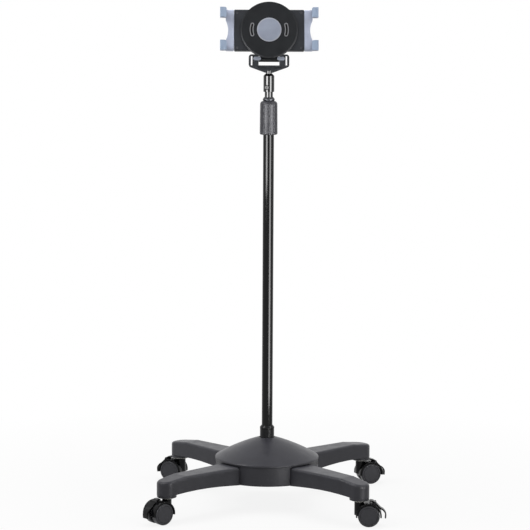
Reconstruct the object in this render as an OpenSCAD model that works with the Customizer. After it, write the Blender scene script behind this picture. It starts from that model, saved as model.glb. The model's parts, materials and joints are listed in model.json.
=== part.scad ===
// Adjustable tablet floor stand: four-legged caster base, telescopic mast and a
// tilting, turning cradle whose two arms are driven by a dial.
// Millimetres, +Z up, origin on the floor under the mast, the cradle faces -Y.

/* [Base] */
// Angle of the base under the head, seen from above
base_turn = -3.4; // [-30:0.1:30]
// Mast axis to each caster stem
stem_reach = 311; // [280:1:360]
// Radius of the dome's rim
hub_r = 122.5; // [115:0.5:135]
// Height of the hub's drum
hub_h = 44; // [40:0.5:52]
// Slope of the dome beside its rim, in degrees
dome_slope = 30; // [22:0.5:40]
// Radius of the dome's curve, seen from the side
dome_r = 510; // [250:10:1000]
// Radius that rounds the dome into its rim
rim_round = 4; // [4:0.5:10]
// Straight skirt below the rounded rim
rim_skirt = 2; // [1:0.25:4]
// Overhang of the dome's rim over the drum
rim_overhang = 1.5; // [0.5:0.25:2]
// Wall of the moulded base pieces
base_wall = 4; // [3:0.25:4.5]
// Thickness of the hub's deck
deck_t = 5; // [4:0.25:7]
// Radius of the hub's mast socket
socket_r = 24; // [20:0.5:30]

/* [Legs] */
// Half width of a leg where it leaves the hub
leg_root_hw = 33; // [28:0.5:38]
// Radius of a leg's round end
leg_end_r = 23; // [20:0.5:26]
// Radius along a leg's upper edges
leg_round = 6.5; // [4:0.25:9]
// Mast axis to the crease in a leg's top
knee_reach = 270; // [240:1:285]
// Fall of a leg's top from the hub to the crease
knee_drop = 0.5; // [0:0.25:3]
// Fall of a leg's top from the hub to the tip
tip_drop = 9; // [5:0.25:12]
// Seam between a leg's sides and the drum
leg_seam = 2; // [0.5:0.1:2.5]
// Gap between the dome's skirt and the legs
leg_gap = 2; // [1:0.25:4]
// Rise of the arched underside
arch_rise = 6; // [3:0.25:9]
// Mast axis to the top of the arch
arch_reach = 230; // [215:1:285]
// Depth of the caster boss below the hub's underside
boss_drop = 6; // [4:0.25:10]
// Half width of the tongue that enters the hub
tongue_hw = 28; // [22:0.5:30]
// Mast axis to the tongue's inner end
tongue_start = 52; // [46:0.5:58]
// Thickness of the ribs under hub and legs
rib_t = 3; // [2:0.25:4]
// Radius of a leg screw
leg_screw_r = 3; // [2.5:0.25:4]

/* [Casters] */
// Diameter of a wheel
wheel_d = 50; // [44:0.5:54]
// Width of one wheel
wheel_w = 16.5; // [14:0.25:18]
// Gap between wheels and hood
wheel_gap = 1.2; // [0.8:0.1:2]
// Wall of the hood
hood_t = 3.3; // [2.5:0.1:4]
// Half width of the web between the wheels
web_hw = 4.6; // [4:0.1:6]
// Swivel axis to axle
caster_trail = 22; // [20:0.5:25]
// Height of the neck above the hood
neck_rise = 3.2; // [3:0.1:8]
// Radius of the neck
neck_r = 11; // [9.5:0.25:12]
// Radius of the stem
stem_r = 5.5; // [5:0.1:6]
// Radius of the axle
axle_r = 3; // [2.5:0.1:4]
// Width of the brake lever
lever_w = 16; // [12:0.5:20]
// Thickness of the brake lever
lever_t = 3; // [2.5:0.1:3.5]
// Radius of the brake lever's pin
lever_pin_r = 1.5; // [1.25:0.05:1.75]
// Trailing headings of the front left, front right, rear left and rear right casters
headings = [217.6, -2, 155, 17];

/* [Mast] */
// Outer radius of the lower tube
lower_r = 12.7; // [11.5:0.1:14]
// Length of the lower tube
lower_len = 829; // [700:1:900]
// Outer radius of the upper tube
upper_r = 9.5; // [9:0.1:10]
// Length of the upper tube
upper_len = 740; // [680:1:760]
// Wall of both tubes
tube_t = 1.5; // [1:0.1:1.6]
// Radius of the collar on the dome
collar_r = 16.8; // [15.5:0.1:18]
// Height of the collar above the dome
collar_h = 22.4; // [18:0.1:35]
// Radius of the twist grip
grip_r = 20.7; // [19.5:0.1:23]
// Height of the twist grip
grip_h = 78.4; // [60:0.1:90]
// Part of the grip below the lower tube's end
grip_under = 31; // [24:0.5:36]
// Height of the grip's metal neck
neck_h = 8.6; // [7.5:0.1:12]
// Grooves round the grip
grooves = 10; // [6:1:14]
// Bare upper tube shown at rest
rest_gap = 12.4; // [12:0.1:40]

/* [Head] */
// Outer radius of the head socket
head_r = 12.7; // [12:0.1:14]
// Height of the head socket with its chamfer
head_h = 42.1; // [38:0.1:50]
// Radius of the yoke's stem
yoke_stem_r = 6.95; // [6:0.05:7.5]
// Direction of the socket screw, left of the front
screw_turn = 25; // [0:1:90]
// Radius of the socket screw
screw_r = 4.4; // [3:0.1:4.6]
// Half width of the yoke
yoke_hw = 47; // [44:0.5:50]
// Half depth of the yoke's rim
yoke_hd = 6; // [5.5:0.1:7]
// Half depth of the yoke's web
yoke_web = 3; // [2:0.1:4]
// Tilt axis above the yoke's lowest edge
yoke_rise = 30.8; // [29:0.1:34]
// Top of the ears above the tilt axis
ear_rise = 11.3; // [10.5:0.1:11.5]
// Inner face of the posts
post_in = 24; // [23:0.25:26]
// Outer face of the posts
post_out = 38.5; // [37.5:0.25:39]
// Thickness of the ears' side bars
ear_bar = 5.1; // [3.5:0.1:5.5]
// Radius of the hinge barrel
barrel_r = 6.2; // [5.5:0.1:6.4]
// Radius of the hinge pin
hinge_r = 2.5; // [2:0.1:3]
// Length of a release tab
tab_len = 17.8; // [15:0.1:18]
// Height of a release tab
tab_h = 8.3; // [7:0.1:9]
// Travel of a release tab
tab_travel = 3; // [2:0.1:3.2]

/* [Cradle] */
// Lean of the cradle at rest
lean = 16; // [5:0.5:30]
// Tilt axis to the dial's axis, along the cradle
dial_up = 63; // [61:0.25:68]
// Tilt axis to the cradle's back
back_n = 14; // [13.5:0.1:18]
// Thickness of the tilt bracket's plate
bracket_t = 4.5; // [3.5:0.1:5]
// Width of the cradle's housing
plate_w = 162; // [156:0.5:180]
// Height of the cradle's housing
plate_h = 97; // [95:0.5:105]
// Thickness of the cradle's housing
plate_t = 12.5; // [12:0.1:15]
// Wall of the housing
plate_wall = 2.2; // [1.8:0.1:2.5]
// Radius of the housing's corners
plate_round = 3; // [1:0.5:6]
// Inset of the housing's screws from its edges
plate_screw_in = 7; // [6.5:0.1:7.5]
// Radius of the dial
dial_r = 66.5; // [62:0.5:70]
// Thickness of the dial
dial_t = 4; // [3.5:0.1:5]
// Width of the bevel round the dial's face
bevel_w = 3; // [2:0.1:4]
// Depth of the bevel round the dial's face
bevel_t = 1; // [0.6:0.1:1.4]
// Radius of the dial's pad
pad_r = 28.2; // [26:0.1:32]
// Height of the pad above the dial
pad_proud = 0.8; // [0.4:0.1:1.5]
// Radius of the finger slots' centre line
slot_r = 40.7; // [38:0.1:44]
// Half angle of a finger slot
slot_half = 17; // [10:1:22]
// Width of a finger slot
slot_w = 4.4; // [3:0.1:5]

/* [Arms] */
// Height of an arm
arm_h = 95.5; // [92:0.5:99]
// Width of an arm's end at its corners
arm_w = 19; // [16:0.25:24]
// Depth of the hollow in an arm's outer edge
arm_hollow = 5.5; // [3:0.25:7]
// Height of a hook
hook_h = 23.5; // [18:0.5:26]
// Span over the hooks at rest
hook_span = 227; // [220:1:240]
// Reach of a hook's lip towards the tablet
hook_lip = 15; // [12:0.25:17]
// Thickness of a hook's walls
hook_t = 3.5; // [2.5:0.1:4.5]
// Room for the tablet between pad and lip
tablet_t = 9; // [7:0.25:14]
// Gear module of dial and arms
gear_m = 2; // [1.9:0.05:2.1]
// Teeth on the pinion, an even number
teeth = 16; // [14:2:18]
// Half height of an arm's tail
tail_hh = 37; // [34:0.25:37.5]
// Tail of an arm inside the housing at rest
tail_len = 39; // [36:0.5:40]

/* [Fits] */
// Running clearance of pins and shafts
fit = 0.05; // [0.03:0.01:0.08]
// Gap between sliding or turning faces
gap = 0.3; // [0.25:0.05:0.4]

/* [Hidden] */
$fn = 64;
eps = 0.01;
LEGS = ["front_left", "front_right", "rear_left", "rear_right"];
LEG_DIRS = [225, 315, 135, 45];
CASTERS = ["fl", "fr", "rl", "rr"];

// Caster heights
wheel_r = wheel_d / 2;
hood_in = wheel_r + wheel_gap;
hood_out = hood_in + hood_t;
caster_top = wheel_r + hood_out + neck_rise;
wheel_in = web_hw + wheel_gap;
hood_hw = wheel_in + wheel_w;
flange_t = 2;
boss_bottom = caster_top + gap + flange_t;

// Base heights
hub_bottom = boss_bottom + boss_drop - flange_t - gap;
hub_top = hub_bottom + hub_h;
rim_z = hub_top + rim_skirt;
rim_x = hub_r - rim_round;
// The dome's curve is tangent to the rounded rim
dome_mid = [rim_x, rim_z] - (dome_r - rim_round) * [sin(dome_slope), cos(dome_slope)];
dome_top = dome_mid[1] + sqrt(dome_r * dome_r - dome_mid[0] * dome_mid[0]);
deck_down = 0.5;
deck_z = hub_top - deck_t - deck_down;
drum_r = hub_r - rim_overhang;
leg_root_top = hub_top - leg_gap;
leg_start = hub_r - rim_overhang - base_wall - 0.5;
socket_down = 13;
collar_gap = 1.2;
socket_top = dome_top - socket_down;
socket_floor = 6;
bolt_head_h = 6;
tube_z = hub_bottom + bolt_head_h + socket_floor;

// Caster boss and bush
bush_t = 2.5;
bush_r = stem_r + bush_t;
boss_r = leg_end_r - 0.5;
boss_roof = 4;

// Brake lever, from the wheel's centre
pivot_r = hood_out + lever_pin_r + 0.9;
pivot_angle = 63;
pivot = pivot_r * [cos(pivot_angle), sin(pivot_angle)];
lug_t = 2.5;
shoe_r = wheel_r + 3.5;

// Mast heights
lower_top = tube_z + lower_len;
lower_bore = lower_r - tube_t;
grip_z = lower_top - grip_under;
grip_top = grip_z + grip_h;
neck_top = grip_top + neck_h;
head_z = neck_top + rest_gap;
head_top = head_z + head_h;
head_chamfer = 5;
stem_seat = 15;
screw_sink = 2.6;
upper_seat = head_top - stem_seat;
thread_r = lower_r + 3;
collet_seat = 4;
bolt_r = 4;
bolt_head_r = 6.5;
collet_h = 16;
bush_len = 30;
plug_len = 25;

// Yoke
stem_show = 2.3;
yoke_z = head_top + stem_show;
tilt_z = yoke_z + yoke_rise;
yoke_fall = 13.9;
yoke_corner_z = yoke_z + yoke_fall;
web_down = 14.1;
web_top = tilt_z - web_down;
ear_top = tilt_z + ear_rise;
ear_top_bar = 3.8;
ear_round = 6.5;
foot_hw = 9;
rim_w = 5.5;
tab_z = 2.3;
tab_in = 18.5;
tab_t = 3.2;
tab_n = max(yoke_hd, barrel_r) + gap;
tongue_h = 4;
tongue_len = 4;
tongue_n = hinge_r + 1.2;
spring_r = 1.2;
spring_wire = 0.35;
spring_shut = 3;

// Cradle layers, counted from the tilt axis to the front
front_n = back_n + plate_t;
split_n = back_n + plate_t / 2;
dial_n = front_n + gap;
dial_front = dial_n + dial_t;
pad_front = dial_front + pad_proud;
pad_seat = dial_front - 1.2;
slot_rib = 2.2;
slot_shoulder = 0.1;
lip_n = pad_front + tablet_t;
room_back = back_n + plate_wall;
room_front = front_n - plate_wall;
room_hh = plate_h / 2 - plate_wall;
bracket_n = back_n - gap - bracket_t;
pivot_post_r = 4.5;
swivel_r = 12;
hub_neck_r = 13;
key_w = 13;
face_bevel = 1.5;
plate_screw_r = 1.3;
plate_screw_head = 1;
screw_proud = 0.6;
plate_post_r = 3.4;
swivel_screw_r = 3;
swivel_screw_in = 2;
washer_t = 2;
dial_screw_r = 2;
dial_screw_in = 5;
dial_floor = 1;

// Rack and pinion
pitch_r = gear_m * teeth / 2;
pressure = 20;
base_r = pitch_r * cos(pressure);
tooth_up = 0.9 * gear_m;
tooth_down = 1.25 * gear_m;
tip_r = pitch_r + tooth_up;
root_r = pitch_r - tooth_down;
backlash = 0.3;
gear_n0 = room_back + 1;
gear_n1 = room_front - 1;
rack_back = 7.5;
rack_reach = 36;

// Colours
CHARCOAL = [0.27, 0.28, 0.30];
GLOSS_BLACK = [0.07, 0.07, 0.08];
DIAL_GREY = [0.24, 0.24, 0.25];
BLUE_GREY = [0.66, 0.69, 0.75];
GRIP_GREY = [0.42, 0.43, 0.45];
STEEL = [0.72, 0.73, 0.75];
WHEEL_GREY = [0.20, 0.20, 0.22];
NYLON = [0.85, 0.85, 0.82];

// Helpers

function lerp(a, b, t) = a + (b - a) * t;

// A ring round the Z axis
module ring(r_out, r_in, z0, z1) {
    difference() {
        translate([0, 0, z0]) cylinder(r = r_out, h = z1 - z0);
        translate([0, 0, z0 - 1]) cylinder(r = r_in, h = z1 - z0 + 2);
    }
}

// A front view drawn in X and Z, given depth from n0 to n1 towards the front
module layer(n0, n1) {
    translate([0, -n0, 0]) rotate([90, 0, 0]) linear_extrude(n1 - n0) children();
}

// A cylinder along Y between two depths
module bore_n(r, n0, n1) {
    layer(n0, n1) circle(r = r);
}

// A centred rectangle with round corners
module round_rect(w, h, r) {
    square([w - 2 * r, h], center = true);
    square([w, h - 2 * r], center = true);
    for (x = [-1, 1], y = [-1, 1])
        translate([x * (w / 2 - r), y * (h / 2 - r)]) circle(r = r);
}

// A mirrored pair on the left and the right
module both_sides() {
    children();
    mirror([1, 0, 0]) children();
}

// Base

// The dome's section, inset from its outer face
module dome_section(inset) {
    intersection() {
        union() {
            intersection() {
                translate(dome_mid) circle(r = dome_r - inset, $fn = 720);
                translate(dome_mid)
                    polygon([[0, 0], 2 * dome_r * [sin(dome_slope), cos(dome_slope)], [0, 2 * dome_r]]);
            }
            translate([rim_x, rim_z]) circle(r = rim_round - inset);
            translate([0, hub_top - inset]) square([hub_r - inset, rim_skirt + inset]);
        }
        translate([0, hub_top - inset]) square([hub_r, dome_top]);
    }
}

module dome_cover() {
    color(CHARCOAL)
    rotate_extrude($fn = 128)
    difference() {
        dome_section(0);
        dome_section(base_wall - 1);
        square([collar_r + collar_gap, 2 * dome_top]);
    }
}

module at_leg(i) {
    rotate([0, 0, LEG_DIRS[i] + base_turn]) children();
}

function leg_hw(s) = lerp(leg_root_hw, leg_end_r, (s - hub_r) / (stem_reach - hub_r));
function leg_top(s) =
    s < knee_reach
    ? leg_root_top - knee_drop * (s - leg_start) / (knee_reach - leg_start)
    : lerp(leg_root_top - knee_drop, leg_root_top - tip_drop,
           (s - knee_reach) / (stem_reach + leg_end_r - knee_reach));
function leg_bottom(s) = hub_bottom + arch_rise * sin(90 * (s - hub_r) / (arch_reach - hub_r));

leg_stations = concat(
    [for (t = [0 : 0.2 : 1]) lerp(leg_start, knee_reach, t)],
    [for (t = [0.5, 1]) lerp(knee_reach, stem_reach, t)]
);
leg_end_turns = [for (a = [12 : 12 : 84]) a];
bevel_turns = [0, 30, 60, 90];

function leg_plan(inset) = concat(
    [for (s = leg_stations) [s, leg_hw(s) - inset]],
    [for (a = leg_end_turns)
        [stem_reach + (leg_end_r - inset) * sin(a), (leg_end_r - inset) * cos(a)]]
);

// A solid between stacked rings, each a list of [reach, half width, height]
module loft(rings) {
    n = len(rings[0]);
    top = len(rings) - 1;
    points = [for (r = rings, p = r, side = [-1, 1]) [p[0], side * p[1], p[2]]];
    function at(l, i, side) = (l * n + i) * 2 + side;
    quads = concat(
        [for (l = [0 : top - 1], i = [0 : n - 2])
            [at(l, i, 1), at(l, i + 1, 1), at(l + 1, i + 1, 1), at(l + 1, i, 1)]],
        [for (l = [0 : top - 1], i = [0 : n - 2])
            [at(l, i, 0), at(l + 1, i, 0), at(l + 1, i + 1, 0), at(l, i + 1, 0)]],
        [for (i = [0 : n - 2]) [at(top, i, 0), at(top, i, 1), at(top, i + 1, 1), at(top, i + 1, 0)]],
        [for (i = [0 : n - 2]) [at(0, i, 0), at(0, i + 1, 0), at(0, i + 1, 1), at(0, i, 1)]],
        [for (l = [0 : top - 1]) [at(l, 0, 1), at(l + 1, 0, 1), at(l + 1, 0, 0), at(l, 0, 0)]],
        [for (l = [0 : top - 1])
            [at(l, n - 1, 0), at(l + 1, n - 1, 0), at(l + 1, n - 1, 1), at(l, n - 1, 1)]]
    );
    polyhedron(points, [for (q = quads, k = [1, 2]) [q[0], q[k], q[k + 1]]]);
}

module leg_skin() {
    loft(concat(
        [[for (p = leg_plan(0)) [p[0], p[1], leg_bottom(p[0])]]],
        [for (a = bevel_turns)
            [for (p = leg_plan(leg_round * (1 - cos(a))))
                [p[0], p[1], leg_top(p[0]) - leg_round * (1 - sin(a))]]]
    ));
}

leg_room_end = stem_reach - boss_r + 3;
leg_room = concat(
    [hub_r + base_wall],
    [for (s = leg_stations) if (s > hub_r + 2 * base_wall && s < leg_room_end - base_wall) s],
    [leg_room_end]
);

module leg_hollow() {
    loft([
        [for (s = leg_room) [s, leg_hw(s) - base_wall, hub_bottom - 1]],
        [for (s = leg_room) [s, leg_hw(s) - base_wall, leg_top(s) - leg_round]]
    ]);
}

module leg_ribs() {
    for (s = [lerp(hub_r, stem_reach, 0.3), lerp(hub_r, stem_reach, 0.6)])
        translate([s - rib_t / 2, -leg_hw(s) + base_wall / 2, leg_bottom(s) + 2 * rib_t])
            cube([rib_t, 2 * leg_hw(s) - base_wall, leg_top(s) - leg_round - leg_bottom(s) - rib_t]);
    translate([0, rib_t / 2, 0]) rotate([90, 0, 0]) linear_extrude(rib_t)
        polygon(concat(
            [for (s = [hub_r, leg_room_end]) [s, hub_bottom + arch_rise + 2 * rib_t]],
            [for (s = [leg_room_end, knee_reach, hub_r]) [s, leg_top(s) - leg_round + rib_t]]
        ));
}

tongue_len_in = leg_start + base_wall - tongue_start;
tongue_top_t = 6;
tongue_z = hub_bottom + 8;
leg_screw_in = [15, 20];
leg_screw_at = [tongue_start + leg_screw_in[0], leg_start - leg_screw_in[1]];

module leg_tongue() {
    translate([tongue_start, -tongue_hw, tongue_z])
    difference() {
        cube([tongue_len_in, 2 * tongue_hw, deck_z - tongue_z]);
        translate([base_wall, base_wall, -1])
            cube([tongue_len_in - 2 * base_wall, 2 * (tongue_hw - base_wall),
                  deck_z - tongue_z - tongue_top_t + 1]);
        for (s = leg_screw_at)
            translate([s - tongue_start, tongue_hw, 0]) cylinder(r = leg_screw_r + gap, h = hub_h);
    }
}

boss_top = leg_top(stem_reach) - leg_round + 1;
stem_up = boss_top - boss_roof - 2 * gap - caster_top;

module leg(i) {
    color(CHARCOAL)
    at_leg(i)
    difference() {
        union() {
            difference() {
                leg_skin();
                leg_hollow();
            }
            leg_ribs();
            leg_tongue();
            translate([stem_reach, 0, boss_bottom]) cylinder(r = boss_r, h = boss_top - boss_bottom);
        }
        translate([stem_reach, 0, boss_bottom - 1])
            cylinder(r = bush_r, h = boss_top - boss_bottom - boss_roof + 1);
    }
}

// Openings in the drum: one for a leg's end, and a lower one that reaches the wall's inner face for its tongue
module hub_notches() {
    leg_side = leg_hw(leg_start) + leg_seam;
    tongue_side = tongue_hw + gap;
    tongue_from = sqrt(pow(drum_r - base_wall, 2) - pow(tongue_side, 2)) - gap;
    for (i = [0 : 3])
        at_leg(i) {
            translate([leg_start - gap, -leg_side, hub_bottom - 1])
                cube([hub_r, 2 * leg_side, leg_root_top + gap - hub_bottom + 1]);
            translate([tongue_from, -tongue_side, hub_bottom - 1])
                cube([hub_r, 2 * tongue_side, deck_z + gap - hub_bottom + 1]);
        }
}

module hub_housing() {
    color(CHARCOAL)
    difference() {
        union() {
            ring(drum_r, drum_r - base_wall, hub_bottom, hub_top);
            translate([0, 0, deck_z]) cylinder(r = drum_r - base_wall / 2, h = deck_t);
            translate([0, 0, hub_bottom]) cylinder(r = socket_r, h = socket_top - hub_bottom);
            for (i = [0 : 3])
                at_leg(i) rotate([0, 0, 45])
                    translate([socket_r - base_wall, -rib_t / 2, hub_bottom + 2 * rib_t])
                        cube([drum_r - base_wall / 2 - socket_r + base_wall, rib_t,
                              deck_z - hub_bottom - rib_t]);
        }
        hub_notches();
        translate([0, 0, tube_z]) cylinder(r = lower_r + fit, h = socket_top);
        translate([0, 0, hub_bottom - 1]) cylinder(r = bolt_head_r + gap, h = bolt_head_h + 1);
        cylinder(r = bolt_r + gap, h = tube_z + 1);
        for (i = [0 : 3], s = leg_screw_at)
            at_leg(i) translate([s, 0, deck_z - 1]) cylinder(r = leg_screw_r + fit, h = deck_t);
    }
}

module leg_screws() {
    head_h = 4;
    color(STEEL)
    for (i = [0 : 3], s = leg_screw_at)
        at_leg(i) translate([s, 0, deck_z - tongue_top_t]) {
            difference() {
                translate([0, 0, -head_h]) cylinder(r = 1.8 * leg_screw_r, h = head_h);
                translate([0, 0, -head_h - 1]) cylinder(r = leg_screw_r, h = head_h - 1, $fn = 6);
            }
            cylinder(r = leg_screw_r, h = tongue_top_t + deck_t - 2);
        }
}

module caster_bushes() {
    color(NYLON)
    for (i = [0 : 3])
        at_leg(i) translate([stem_reach, 0, 0]) {
            ring(bush_r - fit, stem_r + fit, boss_bottom - eps, boss_top - boss_roof - gap);
            ring(boss_r - 5, stem_r + fit, boss_bottom - flange_t, boss_bottom);
        }
}

// Casters

module at_caster(i) {
    at_leg(i) translate([stem_reach, 0, 0])
        rotate([0, 0, headings[i] - LEG_DIRS[i] - base_turn]) children();
}

// The axle's frame: X trails, Z is up
module at_axle(i) {
    at_caster(i) translate([caster_trail, 0, wheel_r]) children();
}

// A wedge seen from the side, from one angle to another
module wedge(r, a0, a1) {
    polygon(concat([[0, 0]], [for (t = [0 : 0.25 : 1]) r * [cos(lerp(a0, a1, t)), sin(lerp(a0, a1, t))]]));
}

module hood_arch() {
    layer(-hood_hw, hood_hw)
    intersection() {
        circle(r = hood_out, $fn = 96);
        translate([-2 * hood_out, -rib_t]) square(4 * hood_out);
    }
}

slot_hw = lever_w / 2 + gap;

module caster_hood(i) {
    color(GLOSS_BLACK)
    at_axle(i)
    difference() {
        union() {
            difference() {
                union() {
                    hood_arch();
                    translate([-caster_trail, 0, 0]) cylinder(r = neck_r, h = hood_out + neck_rise);
                    for (y = [-1, 1])
                        translate([0, y * (slot_hw + lug_t / 2), 0]) layer(-lug_t / 2, lug_t / 2)
                            hull() {
                                translate(pivot) circle(r = lever_pin_r + 1.6, $fn = 32);
                                translate(pivot * (hood_in + 1) / pivot_r)
                                    circle(r = lever_pin_r + 3, $fn = 32);
                            }
                }
                layer(-hood_out, hood_out) circle(r = hood_in, $fn = 96);
                layer(-slot_hw, slot_hw) wedge(2 * hood_out, 6, pivot_angle + 12);
                layer(-2 * neck_r, 2 * neck_r) translate([-2 * hood_out, -2 * hood_out])
                    square([4 * hood_out, 2 * hood_out - rib_t]);
            }
            layer(-web_hw, web_hw)
            difference() {
                union() {
                    intersection() {
                        circle(r = hood_in + 0.5, $fn = 96);
                        polygon([[0, -rib_t], [-2 * hood_out, -rib_t], [-2 * hood_out, 2 * hood_out],
                                 [0.5 * hood_out, 2 * hood_out]]);
                    }
                    circle(r = 2.6 * axle_r);
                }
                circle(r = axle_r + fit);
            }
        }
        translate([-caster_trail, 0, hood_out + neck_rise - stem_in]) cylinder(r = stem_r + fit, h = stem_up);
        translate([pivot[0], 0, pivot[1]]) rotate([90, 0, 0])
            cylinder(r = lever_pin_r + fit, h = 2 * hood_hw, center = true);
    }
}

stem_in = neck_rise + 7;
axle_hl = hood_hw - 3;

module caster_pins(i) {
    color(STEEL)
    at_axle(i) {
        translate([-caster_trail, 0, hood_out + neck_rise - stem_in])
            cylinder(r = stem_r, h = stem_in + stem_up);
        rotate([90, 0, 0]) cylinder(r = axle_r, h = 2 * axle_hl, center = true);
        translate([pivot[0], 0, pivot[1]]) rotate([90, 0, 0])
            cylinder(r = lever_pin_r, h = 2 * (slot_hw + lug_t), center = true);
    }
}

// A wheel's half section: bore, recessed hub, domed face and round tread
module wheel_section() {
    tread = 3;
    difference() {
        union() {
            square([wheel_r - tread, wheel_w]);
            translate([0, tread]) square([wheel_r, wheel_w - 2 * tread]);
            for (y = [tread, wheel_w - tread]) translate([wheel_r - tread, y]) circle(r = tread);
        }
        square([axle_r + fit, axle_hl - wheel_in + gap]);
        translate([3 * axle_r, -1]) square([wheel_r - 2 * tread - 3 * axle_r, 5]);
        translate([wheel_r - 2 * tread, wheel_w - 0.8]) square([1.2, 1]);
    }
}

// side is -1 for the wheel on the left of the trailing direction, 1 for the right
module caster_wheel(i, side) {
    color(WHEEL_GREY)
    at_axle(i) rotate([90 * side, 0, 0]) translate([0, 0, wheel_in]) rotate_extrude($fn = 96) wheel_section();
}

// A smooth curve through points, with a number of steps between each two
function curve_at(p, i, t) =
    let (a = p[max(i - 1, 0)], b = p[i], c = p[i + 1], d = p[min(i + 2, len(p) - 1)])
    b + t * (c - a) / 2 + t * t * (2 * a - 5 * b + 4 * c - d) / 2
      + t * t * t * (3 * b - a - 3 * c + d) / 2;
function curve(p, steps) = concat(
    [for (i = [0 : len(p) - 2], k = [0 : steps - 1]) curve_at(p, i, k / steps)],
    [p[len(p) - 1]]
);

// A band of even thickness along a row of points
module band(points, t) {
    last = len(points) - 1;
    function edge(i, side) =
        let (along = points[min(i + 1, last)] - points[max(i - 1, 0)])
        points[i] + side * t / 2 * [-along[1], along[0]] / norm(along);
    polygon(concat(
        [for (i = [0 : last]) edge(i, -1)],
        [for (i = [last : -1 : 0]) edge(i, 1)]
    ));
}

// The lever's side view: a band over the hood with its toe plate, a pivot eye and a brake shoe
module lever_section() {
    out = hood_out + lever_t / 2;
    path = [out * [0.05, 1.07], out * [0.37, 1.01], out * [0.84, 0.55], out * [1.08, 0.38],
            out * [1.24, 0.13], out * [1.23, -0.22]];
    difference() {
        union() {
            band(curve(path, 4), lever_t);
            translate(pivot) circle(r = lever_pin_r + 1.5);
            intersection() {
                difference() {
                    circle(r = out, $fn = 96);
                    circle(r = shoe_r, $fn = 96);
                }
                wedge(2 * hood_out, 32, 42);
            }
        }
        translate(pivot) circle(r = lever_pin_r + fit);
    }
}

module caster_brake_lever(i) {
    color(GLOSS_BLACK)
    at_axle(i) layer(-lever_w / 2, lever_w / 2) lever_section();
}

// Mast

module mast_collar() {
    lip = 0.3;
    band = 3;
    top = dome_top + collar_h;
    slope_z = top - 4;
    color(GLOSS_BLACK)
    rotate_extrude()
    polygon([
        [lower_r + fit, socket_top], [collar_r, socket_top],
        [collar_r, slope_z - band - 1], [collar_r + lip, slope_z - band],
        [collar_r + lip, slope_z], [lower_r + 1, top], [lower_r + fit, top]
    ]);
}

module mast_bolt() {
    color(STEEL) {
        difference() {
            translate([0, 0, hub_bottom]) cylinder(r = bolt_head_r, h = bolt_head_h);
            translate([0, 0, hub_bottom - 1]) cylinder(r = bolt_head_r / 2, h = bolt_head_h - 1, $fn = 6);
        }
        translate([0, 0, hub_bottom + bolt_head_h]) cylinder(r = bolt_r, h = socket_floor + plug_len - 5);
    }
}

module lower_tube() {
    color(GLOSS_BLACK) ring(lower_r, lower_bore, tube_z, lower_top);
}

module tube_plug() {
    color(STEEL) ring(lower_bore - fit, bolt_r + fit, tube_z, tube_z + plug_len);
}

// The threaded body sits on the lower tube and carries the collet
module clutch_body() {
    color(NYLON) {
        ring(thread_r, lower_r + fit, grip_z + collet_seat, lower_top);
        ring(thread_r, upper_r + gap, lower_top, lower_top + collet_seat);
    }
}

module clutch_collet() {
    split_w = 1.2;
    z0 = lower_top + collet_seat;
    color(NYLON)
    difference() {
        rotate_extrude()
            polygon([[upper_r + fit, z0], [thread_r - 1, z0], [thread_r - 1, z0 + collet_seat],
                     [upper_r + 2.5, z0 + collet_h], [upper_r + fit, z0 + collet_h]]);
        for (a = [0 : 60 : 120])
            rotate([0, 0, a]) translate([-2 * thread_r, -split_w / 2, z0 + collet_seat])
                cube([4 * thread_r, split_w, collet_h]);
    }
}

// The grip: rounded foot, slight taper, a round shoulder and narrow grooves that run out on it
module clutch_grip() {
    foot = 3;
    shoulder = 8;
    groove_r = 2;
    groove_deep = 1.3;
    groove_turn = 3;
    roof = 12;
    mouth_r = upper_r + 1.5;
    taper = 0.6;
    crown_r = grip_r - taper;
    color(GRIP_GREY)
    difference() {
        rotate_extrude()
        difference() {
            union() {
                translate([0, grip_z + foot])
                    polygon([[0, 0], [grip_r, 0], [crown_r, grip_h - foot - shoulder],
                             [0, grip_h - foot - shoulder]]);
                translate([0, grip_z]) square([grip_r - foot, foot + 1]);
                translate([grip_r - foot, grip_z + foot]) circle(r = foot);
                translate([crown_r - shoulder, grip_top - shoulder]) circle(r = shoulder);
                translate([0, grip_top - shoulder]) square([crown_r - shoulder, shoulder]);
            }
            square([mouth_r, 2 * grip_top]);
            translate([0, grip_z - 1]) square([thread_r + gap, grip_h + 1 - roof]);
        }
        for (i = [0 : grooves - 1])
            rotate([0, 0, groove_turn - 90 + i * 360 / grooves])
                translate([grip_r + groove_r - groove_deep, 0, grip_z - foot])
                    cylinder(r = groove_r, h = grip_h + 2 * foot);
    }
}

// A rounded ring on the grip that tapers to the upper tube
module clutch_neck() {
    foot_r = upper_r + 2.5;
    belly_r = 3.2;
    belly_at = upper_r + 1.4;
    belly = [for (a = [-45 : 25 : 30]) [belly_at + belly_r * cos(a), grip_top + belly_r * (1 + sin(a))]];
    color(STEEL)
    rotate_extrude()
        polygon(concat([[upper_r + gap, grip_top], [foot_r, grip_top]], belly,
                       [[upper_r + 4 * gap, neck_top], [upper_r + gap, neck_top]]));
}

module upper_tube() {
    color(GLOSS_BLACK) ring(upper_r, upper_r - tube_t, upper_seat - upper_len, upper_seat);
}

module guide_bush() {
    z0 = upper_seat - upper_len;
    color(NYLON) ring(lower_bore - fit, upper_r + fit, z0, z0 + bush_len);
}

// Head

module at_socket_screw() {
    screw_up = 10.4;
    translate([0, 0, head_z + screw_up]) rotate([0, 0, -screw_turn]) children();
}

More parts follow.
